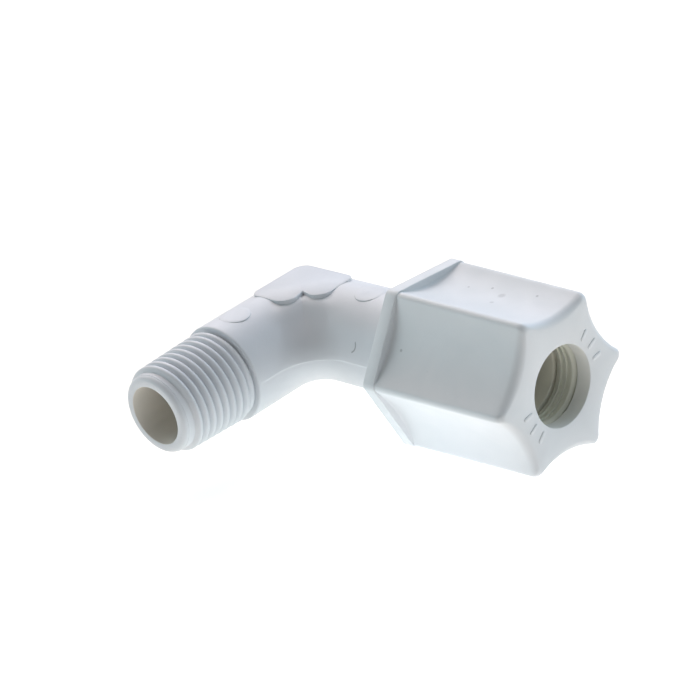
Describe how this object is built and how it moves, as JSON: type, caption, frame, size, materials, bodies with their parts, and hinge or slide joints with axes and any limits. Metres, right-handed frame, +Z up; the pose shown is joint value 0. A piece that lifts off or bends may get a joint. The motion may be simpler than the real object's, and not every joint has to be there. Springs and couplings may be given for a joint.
{
  "type": "plastic compression elbow fitting",
  "caption": "White moulded plastic elbow: tapered male pipe thread on one leg, fluted compression nut with grab ring and sleeve on the other, for small irrigation tube.",
  "frame": {"origin": "centre of the bounding box in X and Y, on the plane of the nut's lowest corner in Z", "axes": "+X along the tube leg and out of the nut, -Y along the pipe-thread leg and out of its end, +Z up, with both legs level"},
  "size_m": [0.041, 0.033, 0.0181],
  "materials": {
    "body_plastic": "moulded, faintly cool white, satin",
    "nut_plastic": "moulded white, satin, lightly mottled",
    "gripper_plastic": "moulded grey-white acetal, smooth",
    "sleeve_plastic": "moulded natural white, satin"
  },
  "bodies": {
    "elbow": {"elbow_body": "body_plastic"},
    "gripper": {"gripper_ring": "gripper_plastic"},
    "nut": {"compression_nut": "nut_plastic"},
    "sleeve": {"sleeve": "sleeve_plastic"}
  },
  "joints": [
    {"name": "gripper_advance", "type": "slide", "parent": "elbow", "child": "gripper", "axis": [1, 0, 0], "range_m": [-0.00128, 0.01017]},
    {"name": "nut_turn", "type": "hinge", "parent": "gripper", "child": "nut", "pos_m": [0, 0.00664, 0.00905], "axis": [1, 0, 0], "range_deg": [-360, 2880]},
    {"name": "sleeve_advance", "type": "slide", "parent": "elbow", "child": "sleeve", "axis": [1, 0, 0], "range_m": [-0.00128, 0.01017]}
  ],
  "couplings": [
    {"joint": "gripper_advance", "follows": "nut_turn", "m_per_rad": 0.00020213},
    {"joint": "sleeve_advance", "follows": "nut_turn", "m_per_rad": 0.00020213}
  ]
}
